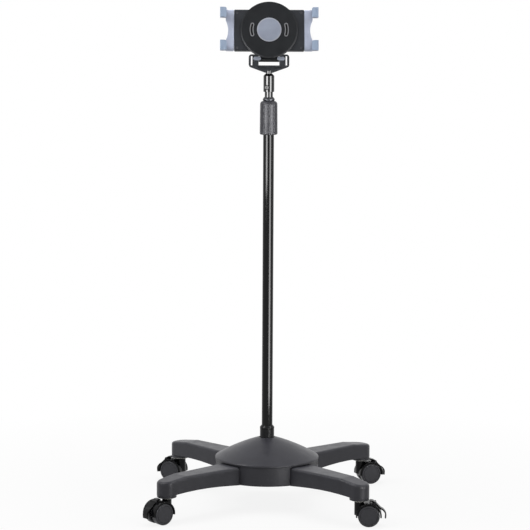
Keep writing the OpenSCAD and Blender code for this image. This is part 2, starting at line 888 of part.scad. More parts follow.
module head_socket() {
    color(GLOSS_BLACK)
    difference() {
        rotate_extrude()
            polygon([
                [upper_r + fit, head_z], [head_r - 0.6, head_z], [head_r, head_z + 0.6],
                [head_r, head_top - head_chamfer], [yoke_stem_r + 1.2, head_top],
                [yoke_stem_r + fit, head_top], [yoke_stem_r + fit, upper_seat], [upper_r + fit, upper_seat]
            ]);
        at_socket_screw() {
            bore_n(screw_r + fit, 0, 2 * head_r);
            translate([0, screw_sink - head_r, 0]) rotate([90, 0, 0])
                cylinder(r1 = screw_r - 1, r2 = screw_r + screw_sink, h = screw_sink + 1);
        }
    }
}

module socket_screw() {
    face = head_r - screw_sink / 2;
    color(STEEL)
    at_socket_screw()
    difference() {
        bore_n(screw_r, upper_r + gap, face);
        layer(face - 1, head_r) circle(r = screw_r / 2, $fn = 6);
    }
}

// The yoke's front view
module yoke_outline() {
    fall = atan(yoke_slope);
    corner = [for (t = [0 : 0.2 : 1]) [cos(lerp(fall - 90, 0, t)), sin(lerp(fall - 90, 0, t))]];
    mid = [yoke_hw - ear_round, yoke_z + (ear_round + (yoke_hw - ear_round - foot_hw) * sin(fall)) / cos(fall)];
    right = [for (c = corner) mid + ear_round * c];
    polygon(concat(
        [[-foot_hw, yoke_z], [foot_hw, yoke_z]], right,
        [[yoke_hw, ear_top - ear_round], [-yoke_hw, ear_top - ear_round]],
        [for (i = [len(right) - 1 : -1 : 0]) [-right[i][0], right[i][1]]]
    ));
    both_sides() {
        translate([0, ear_top - ear_round]) square([yoke_hw - ear_round, ear_round]);
        translate([yoke_hw - ear_round, ear_top - ear_round]) circle(r = ear_round);
    }
}

module yoke_windows() {
    translate([-post_in, web_top]) square([2 * post_in, 2 * ear_rise + yoke_rise]);
    both_sides() translate([post_out, web_top])
        square([yoke_hw - ear_bar - post_out, ear_top - ear_top_bar - web_top]);
}

// The thin web between the rims along the V
yoke_slope = (yoke_corner_z - yoke_z) / (yoke_hw - foot_hw);
function rim_edge(z) = foot_hw + (z - yoke_z - rim_w * sqrt(1 + yoke_slope * yoke_slope)) / yoke_slope;

module yoke_recess() {
    z0 = stem_dome_z + 2;
    z1 = web_top - 2.5;
    polygon([[-rim_edge(z0), z0], [rim_edge(z0), z0], [rim_edge(z1), z1], [-rim_edge(z1), z1]]);
}

module at_tilt_axis() {
    translate([0, 0, tilt_z]) children();
}

module tab_guide(x0, x1, h, n0) {
    translate([x0, 0, 0]) layer(n0, yoke_hd + 1) translate([0, tab_z - h / 2]) square([x1 - x0, h]);
}

tab_tongue_in = tab_in + 8;
tab_tongue_out = tab_tongue_in + tongue_len;
tab_slot_out = tab_tongue_out + tab_travel + spring_shut;

module yoke() {
    color(GLOSS_BLACK)
    difference() {
        layer(-yoke_hd, yoke_hd) difference() {
            yoke_outline();
            yoke_windows();
        }
        for (s = [0, 180])
            rotate([0, 0, s]) layer(yoke_web, yoke_hd + 1) yoke_recess();
        yoke_stem_room(fit);
        at_tilt_axis() rotate([0, 90, 0]) cylinder(r = hinge_r + fit, h = 2 * post_out - 2, center = true);
        at_tilt_axis() both_sides()
            tab_guide(tab_tongue_in - gap, tab_slot_out, tongue_h + 2 * gap, tongue_n - gap);
    }
}

// The stem's room in the yoke: a cylinder with a round top
stem_dome_z = yoke_z + 6;

module yoke_stem_room(extra) {
    r = yoke_stem_r + extra;
    intersection() {
        translate([0, 0, upper_seat - extra]) cylinder(r = r, h = stem_dome_z + extra - upper_seat);
        translate([0, 0, stem_dome_z + extra - 2 * r]) sphere(r = 2 * r);
    }
}

module yoke_stem() {
    color(GLOSS_BLACK) yoke_stem_room(0);
}

module hinge_pin() {
    color(STEEL) at_tilt_axis() rotate([0, 90, 0])
        cylinder(r = hinge_r, h = 2 * post_out - 2.2, center = true);
}

// A release tab: a pill in front of the post and a tongue in the post's slot
module release_tab() {
    r = tab_h / 2;
    translate([0, 0, tab_z]) {
        layer(tab_n, tab_n + tab_t) {
            translate([tab_in + 4, -r]) square([tab_len - 4 - r, tab_h]);
            translate([tab_in + tab_len - r, 0]) circle(r = r);
            polygon([[tab_in + 4, -r], [tab_in + 4, r], [tab_in, r / 2], [tab_in, -r / 2]]);
        }
    }
    translate([tab_tongue_in, 0, tab_z - tongue_h / 2]) translate([0, -tab_n - eps, 0])
        cube([tongue_len, tab_n + eps - tongue_n, tongue_h]);
}

module release_tab_right() {
    color(BLUE_GREY) at_tilt_axis() release_tab();
}

module release_tab_left() {
    color(BLUE_GREY) at_tilt_axis() mirror([1, 0, 0]) release_tab();
}

// A coil between the tongue and the end of the post's slot
module tab_spring() {
    turns = 4;
    sides = 6;
    steps = 8 * turns;
    length = tab_slot_out - tab_tongue_out - 2 * fit;
    pitch_len = length - 2 * spring_wire;
    mid = [tab_tongue_out + fit + spring_wire, -(tongue_n - gap + spring_r + 2 * fit), tab_z];
    coil_r = spring_r - spring_wire;
    points = [for (k = [0 : steps], j = [0 : sides - 1])
        let (a = 360 * turns * k / steps, b = 360 * j / sides)
        mid + [pitch_len * k / steps + spring_wire * sin(b),
               (coil_r + spring_wire * cos(b)) * cos(a), (coil_r + spring_wire * cos(b)) * sin(a)]];
    walls = [for (k = [0 : steps - 1], j = [0 : sides - 1])
        let (a = k * sides + j, b = k * sides + (j + 1) % sides)
        [a, b, b + sides, a + sides]];
    caps = [[for (j = [sides - 1 : -1 : 0]) j], [for (j = [0 : sides - 1]) steps * sides + j]];
    polyhedron(points, concat([for (q = walls, k = [1, 2]) [q[0], q[k], q[k + 1]]], caps));
}

module tab_spring_right() {
    color(STEEL) at_tilt_axis() tab_spring();
}

module tab_spring_left() {
    color(STEEL) at_tilt_axis() mirror([1, 0, 0]) tab_spring();
}

// Cradle, drawn upright on the tilt axis and leaned back

module at_cradle() {
    at_tilt_axis() rotate([-lean, 0, 0]) children();
}

module at_dial() {
    at_cradle() translate([0, 0, dial_up]) children();
}

module tilt_bracket() {
    foot = 15;
    disc_r = 29;
    color(DIAL_GREY)
    at_cradle()
    difference() {
        union() {
            rotate([0, 90, 0]) cylinder(r = barrel_r, h = 2 * (post_in - gap), center = true);
            layer(0, bracket_n + bracket_t) translate([-foot, -barrel_r + 2]) square([2 * foot, barrel_r + 10]);
            layer(bracket_n, bracket_n + bracket_t) {
                polygon([[-foot, 0], [foot, 0], [disc_r - 2, dial_up - 12], [-disc_r + 2, dial_up - 12]]);
                translate([0, dial_up]) circle(r = disc_r, $fn = 96);
            }
            for (x = [-1, 1])
                translate([x * (foot - 2), 0, 0]) rotate([90, 0, 90]) linear_extrude(rib_t, center = true)
                    polygon([[-bracket_n - 1, 0], [0, 8], [-bracket_n - 1, dial_up - disc_r + 8]]);
        }
        rotate([0, 90, 0]) cylinder(r = hinge_r + fit, h = 4 * post_in, center = true);
        translate([0, 0, dial_up]) bore_n(swivel_r + fit, 0, 2 * back_n);
    }
}

module swivel_washer() {
    color(STEEL) at_dial()
    difference() {
        bore_n(swivel_r + 5, bracket_n - washer_t, bracket_n - 2 * fit);
        bore_n(swivel_screw_r + gap, 0, back_n);
    }
}

module swivel_screw() {
    head_h = 3.6;
    color(STEEL) at_dial() {
        bore_n(swivel_screw_r, bracket_n - washer_t - eps, room_back + swivel_screw_in);
        difference() {
            bore_n(2 * swivel_screw_r, bracket_n - washer_t - head_h, bracket_n - washer_t);
            layer(bracket_n - washer_t - head_h - 1, bracket_n - 2 * washer_t)
                circle(r = swivel_screw_r, $fn = 6);
        }
    }
}

module plate_outline() {
    round_rect(plate_w, plate_h, plate_round);
}

plate_screws = [for (x = [-1, 1], z = [-1, 1])
    [x * (plate_w / 2 - plate_screw_in), z * (plate_h / 2 - plate_screw_in)]];

// Cuts the front edges at the top and the bottom of a plate of height h
module edge_cuts(h) {
    for (z = [-1, 1])
        translate([0, -front_n, z * h / 2]) rotate([45, 0, 0])
            cube([2 * hook_span, face_bevel * sqrt(2), face_bevel * sqrt(2)], center = true);
}

// Back shell: floor, top and bottom walls, guide rails, screw posts and the dial's pivot
module cradle_back() {
    rail_hh = tail_hh + gap;
    rail_t = 1.6;
    color(DIAL_GREY)
    at_dial()
    difference() {
        union() {
            layer(back_n, split_n) difference() {
                plate_outline();
                square([2 * plate_w, 2 * room_hh], center = true);
            }
            layer(back_n, room_back) plate_outline();
            for (z = [-1, 1])
                translate([0, 0, z * (rail_hh + rail_t / 2)]) layer(back_n + 1, split_n)
                    square([plate_w - 4, rail_t], center = true);
            for (p = plate_screws)
                translate([p[0], 0, p[1]]) bore_n(plate_post_r, back_n + 1, room_front);
            bore_n(pivot_post_r, back_n, dial_n + dial_floor + 2 * fit);
            bore_n(swivel_r, bracket_n, back_n + eps);
        }
        bore_n(swivel_screw_r + fit, 0, room_back + swivel_screw_in + gap);
        bore_n(dial_screw_r + fit, dial_n - dial_screw_in - 1, 2 * front_n);
        for (p = plate_screws)
            translate([p[0], 0, p[1]]) bore_n(plate_screw_r + fit, split_n, 2 * front_n);
    }
}

// Front cover: top and bottom walls and a face with the dial's opening
module cradle_front() {
    color(DIAL_GREY)
    at_dial()
    difference() {
        union() {
            layer(split_n, front_n) difference() {
                plate_outline();
                square([2 * plate_w, 2 * room_hh], center = true);
            }
            layer(room_front, front_n) plate_outline();
        }
        edge_cuts(plate_h);
        bore_n(hub_neck_r + gap, 0, 2 * front_n);
        for (p = plate_screws)
            translate([p[0], 0, p[1]]) {
                bore_n(plate_screw_r + gap, 0, 2 * front_n);
                bore_n(2 * plate_screw_r, front_n - plate_screw_head, 2 * front_n);
            }
    }
}

module cradle_screws() {
    color(STEEL)
    at_dial()
    for (p = plate_screws)
        translate([p[0], 0, p[1]]) difference() {
            union() {
                bore_n(plate_screw_r, split_n + 1, front_n - plate_screw_head + eps);
                bore_n(2 * plate_screw_r - fit, front_n - plate_screw_head, front_n + screw_proud);
            }
            layer(front_n, front_n + 1) {
                square([2.4, 0.7], center = true);
                square([0.7, 2.4], center = true);
            }
        }
}

// Dial

// One of the two finger slots, widened by a margin all round
module finger_slot(margin) {
    hw = slot_w / 2 + margin;
    intersection() {
        difference() {
            circle(r = slot_r + hw, $fn = 128);
            circle(r = slot_r - hw, $fn = 128);
        }
        wedge(2 * dial_r, -slot_half, slot_half);
    }
    for (a = [-1, 1])
        rotate(a * slot_half) translate([slot_r, 0]) circle(r = hw - slot_shoulder);
}

module dial_section() {
    edge = 0.8;
    polygon([[0, dial_n], [dial_r - edge, dial_n], [dial_r, dial_n + edge], [dial_r, dial_front - bevel_t],
             [dial_r - bevel_w, dial_front], [0, dial_front]]);
}

// Turns a section drawn as [radius, depth] about the dial's axis
module turned_n() {
    rotate([90, 0, 0]) rotate_extrude($fn = 128) children();
}

module dial_wheel() {
    color(DIAL_GREY)
    at_dial()
    difference() {
        union() {
            turned_n() dial_section();
            bore_n(hub_neck_r, gear_n1, dial_n + eps);
            for (a = [0, 180])
                rotate([0, a, 0]) layer(dial_front - eps, pad_front) finger_slot(slot_rib);
        }
        for (a = [0, 180])
            rotate([0, a, 0]) layer(dial_n + dial_floor, 2 * dial_front) finger_slot(0);
        bore_n(pad_r + fit, pad_seat, 2 * dial_front);
        bore_n(3 * dial_screw_r + 1, dial_n + dial_floor, 2 * dial_front);
        bore_n(pivot_post_r + fit, 0, 2 * dial_front);
        layer(0, dial_n) square(key_w + 2 * fit, center = true);
    }
}

module dial_pad() {
    edge = 0.5;
    color(BLUE_GREY)
    at_dial() turned_n()
        polygon([[0, pad_seat], [pad_r, pad_seat], [pad_r, pad_front - edge], [pad_r - edge, pad_front],
                 [0, pad_front]]);
}

module dial_screw() {
    color(STEEL) at_dial() {
        bore_n(dial_screw_r, dial_n - dial_screw_in, dial_n + dial_floor + 3 * fit);
        bore_n(3 * dial_screw_r, dial_n + dial_floor + 2 * fit, pad_seat - 2 * fit);
    }
}

// Rack and pinion

function roll_angle(r) = sqrt(pow(r / base_r, 2) - 1);
// Angle between a flank's point at radius r and the start of its involute
function involute(r) = roll_angle(r) * 180 / PI - atan(roll_angle(r));
// Half of the tooth's angle at radius r
function tooth_half(r) =
    90 / teeth - backlash / pitch_r * 45 / PI + involute(pitch_r) - involute(max(r, base_r));

module pinion_outline() {
    flank = [for (t = [0 : 0.2 : 1]) lerp(base_r, tip_r, t)];
    radii = concat([root_r], flank);
    polygon([for (k = [0 : teeth - 1], side = [-1, 1], i = [0 : len(radii) - 1])
        let (r = radii[side < 0 ? i : len(radii) - 1 - i], a = 360 * k / teeth - 90 + side * tooth_half(r))
        r * [cos(a), sin(a)]]);
}

module pinion() {
    color(NYLON)
    at_dial()
    difference() {
        union() {
            layer(gear_n0, gear_n1) pinion_outline();
            layer(gear_n1 - eps, dial_n - 0.2) square(key_w, center = true);
        }
        bore_n(pivot_post_r + fit, 0, 2 * front_n);
    }
}

// The right arm's rack, teeth up, meshing below the pinion
module rack_outline() {
    pitch = PI * gear_m;
    half = pitch / 4 - backlash / 4;
    count = ceil((rack_reach + tail_in) / pitch);
    intersection() {
        union() {
            translate([-rack_reach, -pitch_r - tooth_down - rack_back])
                square([rack_reach + tail_in + 1, rack_back]);
            for (k = [-count : count])
                translate([(k + 0.5) * pitch, -pitch_r])
                    polygon([[-half - tooth_down * tan(pressure), -tooth_down - 0.1],
                             [-half + tooth_up * tan(pressure), tooth_up],
                             [half - tooth_up * tan(pressure), tooth_up],
                             [half + tooth_down * tan(pressure), -tooth_down - 0.1]]);
        }
        translate([-rack_reach, -plate_h]) square([rack_reach + tail_in + 1, plate_h]);
    }
}

hook_root = 5;
hook_back = 6;
hook_bevel = 2;
lip_over = 2.8;
lip_flat = 7.5;
lip_fall = 1.8;
lip_round = 4;
ridge_w = 4.6;
ridge_rise = 0.9;
tail_in = plate_w / 2 - tail_len;
arm_in = plate_w / 2 + gap;
arm_n0 = back_n + 0.5;
tail_n0 = room_back + gap;
tail_n1 = room_front - gap;

// The arm's end plate from the front, with its hollow outer edge
module arm_outline() {
    chord = arm_h / 2 - hook_h;
    hollow_r = (chord * chord + arm_hollow * arm_hollow) / (2 * arm_hollow);
    difference() {
        translate([arm_in + arm_w / 2, 0]) round_rect(arm_w, arm_h, 2);
        translate([arm_in + arm_w - arm_hollow + hollow_r, 0]) circle(r = hollow_r, $fn = 192);
    }
}

// A hook seen from above, as [distance from the centre, depth]
module hook_section() {
    outer = hook_span / 2;
    root = arm_in + arm_w - hook_root;
    back = front_n - hook_back;
    polygon([[root, back], [outer - hook_bevel, back], [outer, back + hook_bevel],
             [outer, lip_n + 1], [outer - hook_t, lip_n + 1], [outer - hook_t, front_n], [root, front_n]]);
}

// The lip in front of the tablet, seen the same way
module lip_section() {
    outer = hook_span / 2;
    front = lip_n + hook_t;
    edge = 0.8;
    polygon([[outer - hook_lip, lip_n], [outer, lip_n], [outer, front - edge], [outer - edge, front],
             [outer - lip_flat, front], [outer - hook_lip, front - lip_fall]]);
}

// The lip seen from the front, round at its inner corners
module lip_outline() {
    outer = hook_span / 2;
    mid = [outer - hook_lip + lip_round, hook_h / 2 - lip_round];
    turn = [for (a = [90 : 15 : 180]) lip_round * [cos(a), sin(a)]];
    polygon(concat(
        [[outer + 1, -hook_h / 2], [outer + 1, hook_h / 2]],
        [for (t = turn) mid + t],
        [for (i = [len(turn) - 1 : -1 : 0]) [mid[0] + turn[i][0], -mid[1] - turn[i][1]]]
    ));
}

module hook() {
    mirror([0, 1, 0]) linear_extrude(hook_h - 2 * lip_over, center = true) hook_section();
    intersection() {
        mirror([0, 1, 0]) linear_extrude(hook_h + 2, center = true) lip_section();
        layer(lip_n - 1, lip_n + hook_t + 1) lip_outline();
    }
}

// The ridge beside the housing, seen from above
module ridge_section() {
    sink = 0.5;
    top = front_n + ridge_rise;
    run = (ridge_w - 1) * (ridge_rise + sink) / ridge_rise;
    polygon([[arm_in + sink, front_n - sink], [arm_in + 1 + run, front_n - sink], [arm_in + 1, top],
             [arm_in + sink, top]]);
}

module arm_shape() {
    difference() {
        layer(arm_n0, front_n) arm_outline();
        edge_cuts(arm_h);
    }
    mirror([0, 1, 0]) linear_extrude(arm_h - 4 * face_bevel, center = true) ridge_section();
    layer(tail_n0, tail_n1) {
        translate([tail_in, -tail_hh]) square([arm_in + 2 - tail_in, 2 * tail_hh]);
        rack_outline();
    }
    for (z = [-1, 1])
        translate([0, 0, z * (arm_h / 2 - hook_h / 2 + lip_over)]) hook();
}

module arm_right() {
    color(BLUE_GREY) at_dial() arm_shape();
}

module arm_left() {
    color(BLUE_GREY) at_dial() rotate([0, 180, 0]) arm_shape();
}

hub_housing();
dome_cover();
for (i = [0 : 3]) {
    leg(i);
    caster_hood(i);
    caster_pins(i);
    caster_wheel(i, -1);
    caster_wheel(i, 1);
    caster_brake_lever(i);
}
leg_screws();
caster_bushes();
mast_collar();
mast_bolt();
lower_tube();
tube_plug();
clutch_body();
clutch_collet();
clutch_grip();
clutch_neck();
upper_tube();
guide_bush();
head_socket();
socket_screw();
yoke();
yoke_stem();
hinge_pin();
release_tab_left();
release_tab_right();
tab_spring_left();
tab_spring_right();
tilt_bracket();
swivel_washer();
swivel_screw();
cradle_back();
cradle_front();
cradle_screws();
dial_wheel();
dial_pad();
dial_screw();
pinion();
arm_left();
arm_right();
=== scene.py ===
"""Looks of the adjustable tablet floor stand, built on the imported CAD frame.

Everything is in metres, in the frame of the part: origin on the floor under the
mast, +Z up, the cradle faces -Y. Colours are sRGB values of 0 to 255.
"""
import json
import math

import bpy
from mathutils import Matrix, Vector

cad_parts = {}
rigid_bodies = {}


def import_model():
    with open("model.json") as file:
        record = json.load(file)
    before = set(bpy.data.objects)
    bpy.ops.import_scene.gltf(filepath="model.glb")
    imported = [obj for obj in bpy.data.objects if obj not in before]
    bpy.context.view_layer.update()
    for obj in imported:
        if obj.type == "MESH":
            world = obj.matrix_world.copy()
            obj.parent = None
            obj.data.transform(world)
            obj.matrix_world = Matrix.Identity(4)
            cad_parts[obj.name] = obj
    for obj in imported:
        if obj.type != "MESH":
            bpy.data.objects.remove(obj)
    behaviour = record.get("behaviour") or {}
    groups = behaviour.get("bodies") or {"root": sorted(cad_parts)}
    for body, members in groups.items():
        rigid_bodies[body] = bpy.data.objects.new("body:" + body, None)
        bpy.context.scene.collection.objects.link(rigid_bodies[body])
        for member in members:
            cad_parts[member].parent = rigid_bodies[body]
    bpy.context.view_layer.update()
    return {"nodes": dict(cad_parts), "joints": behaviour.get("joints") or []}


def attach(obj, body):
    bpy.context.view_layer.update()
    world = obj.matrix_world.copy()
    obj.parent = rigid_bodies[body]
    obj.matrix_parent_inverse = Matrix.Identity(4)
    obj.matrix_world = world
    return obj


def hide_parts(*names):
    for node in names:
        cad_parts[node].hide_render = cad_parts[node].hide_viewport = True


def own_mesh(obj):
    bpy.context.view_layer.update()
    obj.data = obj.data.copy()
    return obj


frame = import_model()
scene = bpy.context.scene
scene.view_settings.view_transform = "Standard"


# Camera, fitted to the photograph

FOCAL_PX = 2544.0
PICTURE_PX = 530.0
SENSOR_MM = 36.0
CLIP_END = 60.0
CAMERA_AT = Vector((-0.1140, -5.903, 1.376))
PITCH, ROLL, YAW = (math.radians(angle) for angle in (7.80, 0.29, 1.04))


def add_camera():
    forward = Vector((math.sin(YAW) * math.cos(PITCH),
                      math.cos(YAW) * math.cos(PITCH),
                      -math.sin(PITCH)))
    right = Vector((math.cos(YAW), -math.sin(YAW), 0.0))
    up = right.cross(forward)
    right_rolled = right * math.cos(ROLL) + up * math.sin(ROLL)
    up_rolled = up * math.cos(ROLL) - right * math.sin(ROLL)
    data = bpy.data.cameras.new("camera")
    data.sensor_fit = "HORIZONTAL"
    data.sensor_width = SENSOR_MM
    data.lens = FOCAL_PX / PICTURE_PX * SENSOR_MM
    data.clip_end = CLIP_END
    camera = bpy.data.objects.new("camera", data)
    turn = Matrix((right_rolled, up_rolled, -forward)).transposed().to_4x4()
    camera.matrix_world = Matrix.Translation(CAMERA_AT) @ turn
    scene.collection.objects.link(camera)
    scene.camera = camera


add_camera()


# Node helpers

# Sockets of the mix node that hold colours; their names repeat, so they go by number
MIX_A, MIX_B, MIX_RESULT = 6, 7, 2
BEVEL_SAMPLES = 6
CORNER_SAMPLES = 8
EDGE_TURN = 0.12  # how far a rounded normal turns away, as 1 - cosine, where an edge is in full effect


def linear(rgb):
    """An sRGB colour as linear RGBA."""
    def one(v):
        v /= 255.0
        return v / 12.92 if v <= 0.04045 else ((v + 0.055) / 1.055) ** 2.4
    return tuple(one(v) for v in rgb) + (1.0,)


def shade(colour, gain, lift=0.0):
    """A linear colour made darker or paler."""
    return tuple(min(1.0, c * gain + lift) for c in colour[:3]) + (1.0,)


class Graph:
    """A material's node tree with short calls for the nodes used here."""

    def __init__(self, name):
        self.material = bpy.data.materials.new(name)
        self.material.use_nodes = True
        self.tree = self.material.node_tree
        self.shader = next(n for n in self.tree.nodes if n.type == "BSDF_PRINCIPLED")
        self.place = self.node("ShaderNodeTexCoord").outputs["Object"]

    def node(self, kind, **settings):
        made = self.tree.nodes.new(kind)
        for key, value in settings.items():
            setattr(made, key, value)
        return made

    def link(self, source, target):
        self.tree.links.new(source, target)

    def noise(self, scale, detail, roughness, stretch=None):
        made = self.node("ShaderNodeTexNoise")
        made.inputs["Scale"].default_value = scale
        made.inputs["Detail"].default_value = detail
        made.inputs["Roughness"].default_value = roughness
        where = self.place
        if stretch:
            mapping = self.node("ShaderNodeMapping")
            mapping.inputs["Scale"].default_value = stretch
            self.link(where, mapping.inputs["Vector"])
            where = mapping.outputs["Vector"]
        self.link(where, made.inputs["Vector"])
        return made.outputs["Fac"]

    def spread(self, value, low, high, from_low=0.3, from_high=0.7):
        """Maps from_low..from_high to low..high, clamped. The defaults are the usual span of noise."""
        made = self.node("ShaderNodeMapRange")
        self.link(value, made.inputs["Value"])
        for key, number in (("From Min", from_low), ("From Max", from_high),
                            ("To Min", low), ("To Max", high)):
            made.inputs[key].default_value = number
        return made.outputs["Result"]

    def product(self, a, b):
        """a times b, where b may be a number."""
        made = self.node("ShaderNodeMath", operation="MULTIPLY", use_clamp=True)
        self.link(a, made.inputs[0])
        if isinstance(b, float):
            made.inputs[1].default_value = b
        else:
            self.link(b, made.inputs[1])
        return made.outputs["Value"]

    def blend(self, share, a, b):
        """From a to b, each a linear colour or a socket."""
        made = self.node("ShaderNodeMix", data_type="RGBA")
        self.link(share, made.inputs["Factor"])
        for key, value in ((MIX_A, a), (MIX_B, b)):
            if isinstance(value, tuple):
                made.inputs[key].default_value = value
            else:
                self.link(value, made.inputs[key])
        return made.outputs[MIX_RESULT]

    def round_edges(self, radius):
        made = self.node("ShaderNodeBevel", samples=BEVEL_SAMPLES)
        made.inputs["Radius"].default_value = radius
        return made.outputs["Normal"]

    def edge_mask(self, rounded):
        """1 along edges, 0 on open faces."""
        dot = self.node("ShaderNodeVectorMath", operation="DOT_PRODUCT")
        self.link(rounded, dot.inputs[0])
        self.link(self.node("ShaderNodeNewGeometry").outputs["True Normal"], dot.inputs[1])
        return self.spread(dot.outputs["Value"], 1.0, 0.0, 1.0 - EDGE_TURN, 1.0)

    def height(self, direction):
        """How far a point lies along a direction."""
        made = self.node("ShaderNodeVectorMath", operation="DOT_PRODUCT")
        self.link(self.place, made.inputs[0])
        made.inputs[1].default_value = direction
        return made.outputs["Value"]

    def distance(self, centre):
        made = self.node("ShaderNodeVectorMath", operation="DISTANCE")
        self.link(self.place, made.inputs[0])
        made.inputs[1].default_value = centre
        return made.outputs["Value"]

    def corners(self, reach):
        """1 in open places, towards 0 in corners and recesses."""
        made = self.node("ShaderNodeAmbientOcclusion", samples=CORNER_SAMPLES, only_local=True)
        made.inputs["Distance"].default_value = reach
        return made.outputs["AO"]

    def bump(self, height, strength, depth, normal=None):
        made = self.node("ShaderNodeBump")
        made.inputs["Strength"].default_value = strength
        made.inputs["Distance"].default_value = depth
        self.link(height, made.inputs["Height"])
        if normal is not None:
            self.link(normal, made.inputs["Normal"])
        return made.outputs["Normal"]

    def finish(self, colour, roughness, normal, metallic=0.0, specular=0.5):
        shader = self.shader
        self.link(colour, shader.inputs["Base Color"])
        self.link(roughness, shader.inputs["Roughness"])
        self.link(normal, shader.inputs["Normal"])
        shader.inputs["Metallic"].default_value = metallic
        shader.inputs["Specular IOR Level"].default_value = specular
        return self.material


# Kinds of surface. Noise is given as scale, detail and roughness

FLOW_MARKS = (28.0, 4.0, 0.6)
FLOW_DARK, FLOW_PALE = 0.90, 1.10
SCUFFS = (190.0, 5.0, 0.7)
SCUFFS_FROM, SCUFFS_TO = 0.42, 0.68
SCUFFS_ON_FACES = 0.25
RUBBED_GAIN, RUBBED_LIFT = 1.7, 0.01
DULL_PATCHES = (55.0, 5.0, 0.6)
DULL_LESS, DULL_MORE = 0.05, 0.06
GRAIN_DETAIL, GRAIN_ROUGHNESS, GRAIN_STRENGTH = 2.0, 0.6, 0.55


def moulded(name, colour, rough, grain, depth, edge, wear, specular=0.28, paint=None):
    """Moulded plastic: an eroded grain, faint flow marks, dulled patches and paler rubbed edges.

    grain is the scale of the erosion and depth its depth. edge is the radius that sharp edges
    seem rounded to, or 0 for faces without them. paint adds colour that follows the shape.
    """
    g = Graph(name)
    base = linear(colour)
    rubbed = shade(base, RUBBED_GAIN, RUBBED_LIFT)
    flow = g.spread(g.noise(*FLOW_MARKS), 0.0, 1.0)
    tint = g.blend(flow, shade(base, FLOW_DARK), shade(base, FLOW_PALE))
    scuffs = g.spread(g.noise(*SCUFFS), 0.0, wear, SCUFFS_FROM, SCUFFS_TO)
    rounded = g.round_edges(edge) if edge else None
    worn = g.product(scuffs, g.edge_mask(rounded) if edge else SCUFFS_ON_FACES)
    tint = g.blend(worn, tint, rubbed)
    if paint:
        tint = paint(g, tint)
    dull = g.spread(g.noise(*DULL_PATCHES), rough - DULL_LESS, rough + DULL_MORE)
    erosion = g.noise(grain, GRAIN_DETAIL, GRAIN_ROUGHNESS)
    return g.finish(tint, dull, g.bump(erosion, GRAIN_STRENGTH, depth, rounded), specular=specular)


DRAW_LINES = (520.0, 3.0, 0.5)
DRAW_STRETCH = (1.0, 1.0, 0.012)
DRAW_STRENGTH = 0.02
ORANGE_PEEL = (420.0, 2.0, 0.5)
PEEL_STRENGTH = 0.01
PAINT_DEPTH = 0.00002
PAINT_CLOUDS = (9.0, 4.0, 0.6)
PAINT_PALE_GAIN, PAINT_PALE_LIFT = 1.35, 0.001
PAINT_DULL = (35.0, 4.0, 0.6)
PAINT_DULL_LESS, PAINT_DULL_MORE = 0.03, 0.05


def painted_tube(name, colour, rough, specular):
    """Gloss paint on drawn tube: faint lengthwise draw lines and a little orange peel."""
    g = Graph(name)
    base = linear(colour)
    clouds = g.spread(g.noise(*PAINT_CLOUDS), 0.0, 1.0)
    tint = g.blend(clouds, base, shade(base, PAINT_PALE_GAIN, PAINT_PALE_LIFT))
    dull = g.spread(g.noise(*PAINT_DULL), rough - PAINT_DULL_LESS, rough + PAINT_DULL_MORE)
    lines = g.bump(g.noise(*DRAW_LINES, stretch=DRAW_STRETCH), DRAW_STRENGTH, PAINT_DEPTH)
    peel = g.bump(g.noise(*ORANGE_PEEL), PEEL_STRENGTH, PAINT_DEPTH, lines)
    return g.finish(tint, dull, peel, specular=specular)


TOOL_MARKS = (2600.0, 2.0, 0.5)
TOOL_STRETCH = (0.05, 0.05, 1.0)
TOOL_STRENGTH, TOOL_DEPTH = 0.25, 0.00003
METAL_CLOUDS = (120.0, 4.0, 0.6)
METAL_DARK = 0.78
METAL_DULL = (260.0, 4.0, 0.6)
METAL_DULL_LESS, METAL_DULL_MORE = 0.06, 0.08
METAL_EDGE = 0.0004


def turned_metal(name, colour, rough):
    """Turned or plated metal with fine tool marks."""
    g = Graph(name)
    base = linear(colour)
    tint = g.blend(g.spread(g.noise(*METAL_CLOUDS), 0.0, 1.0), shade(base, METAL_DARK), base)
    dull = g.spread(g.noise(*METAL_DULL), rough - METAL_DULL_LESS, rough + METAL_DULL_MORE)
    marks = g.noise(*TOOL_MARKS, stretch=TOOL_STRETCH)
    normal = g.bump(marks, TOOL_STRENGTH, TOOL_DEPTH, g.round_edges(METAL_EDGE))
    return g.finish(tint, dull, normal, metallic=1.0)


# Colour that follows the shape of the dial, its pad and the hooks, with painted highlights and painted
# shade

LOOKS_FORWARD = -0.5  # a face looks forward when the y of its normal is below this


def flat_face(name):
    """Normal of a node's largest flat face that looks forward, and the height of that face along it."""
    flats = {}
    for face in frame["nodes"][name].data.polygons:
        if face.normal.y < LOOKS_FORWARD:
            height = face.center.dot(face.normal)
            key = tuple(round(v, 2) for v in face.normal) + (round(height, 3),)
            flats.setdefault(key, []).append(face)
    faces = max(flats.values(), key=lambda group: sum(face.area for face in group))
    normal = sum((face.normal * face.area for face in faces), Vector()).normalized()
    return normal, max(faces, key=lambda face: face.area).center.dot(normal)


def middle(name):
    """Centre of a node's box."""
    points = [v.co for v in frame["nodes"][name].data.vertices]
    low, high = (Vector(pick(p[i] for p in points) for i in range(3)) for pick in (min, max))
    return (low + high) / 2.0


FACING, DIAL_FACE = flat_face("dial_wheel")
ARM_FACE = flat_face("arm_left")[1]
DIAL_MIDDLE = middle("dial_pad")
PAD_RADIUS = frame["nodes"]["dial_pad"].dimensions.x / 2.0

# Painted highlight on the raised ribs round the finger slots
RIB_HIGHLIGHT_COLOUR = (128, 129, 132)
RIB_FROM, RIB_TO = 0.0002, 0.0006  # height over the dial's face
# Painted shade inside the finger slots
SLOT_SHADE_COLOUR = (3, 3, 4)
SLOT_DEEP, SLOT_SHALLOW = 0.0008, 0.0003  # depth under the dial's face
SLOTS_WITHIN, SLOTS_END = 0.046, 0.048  # distance from the dial's middle


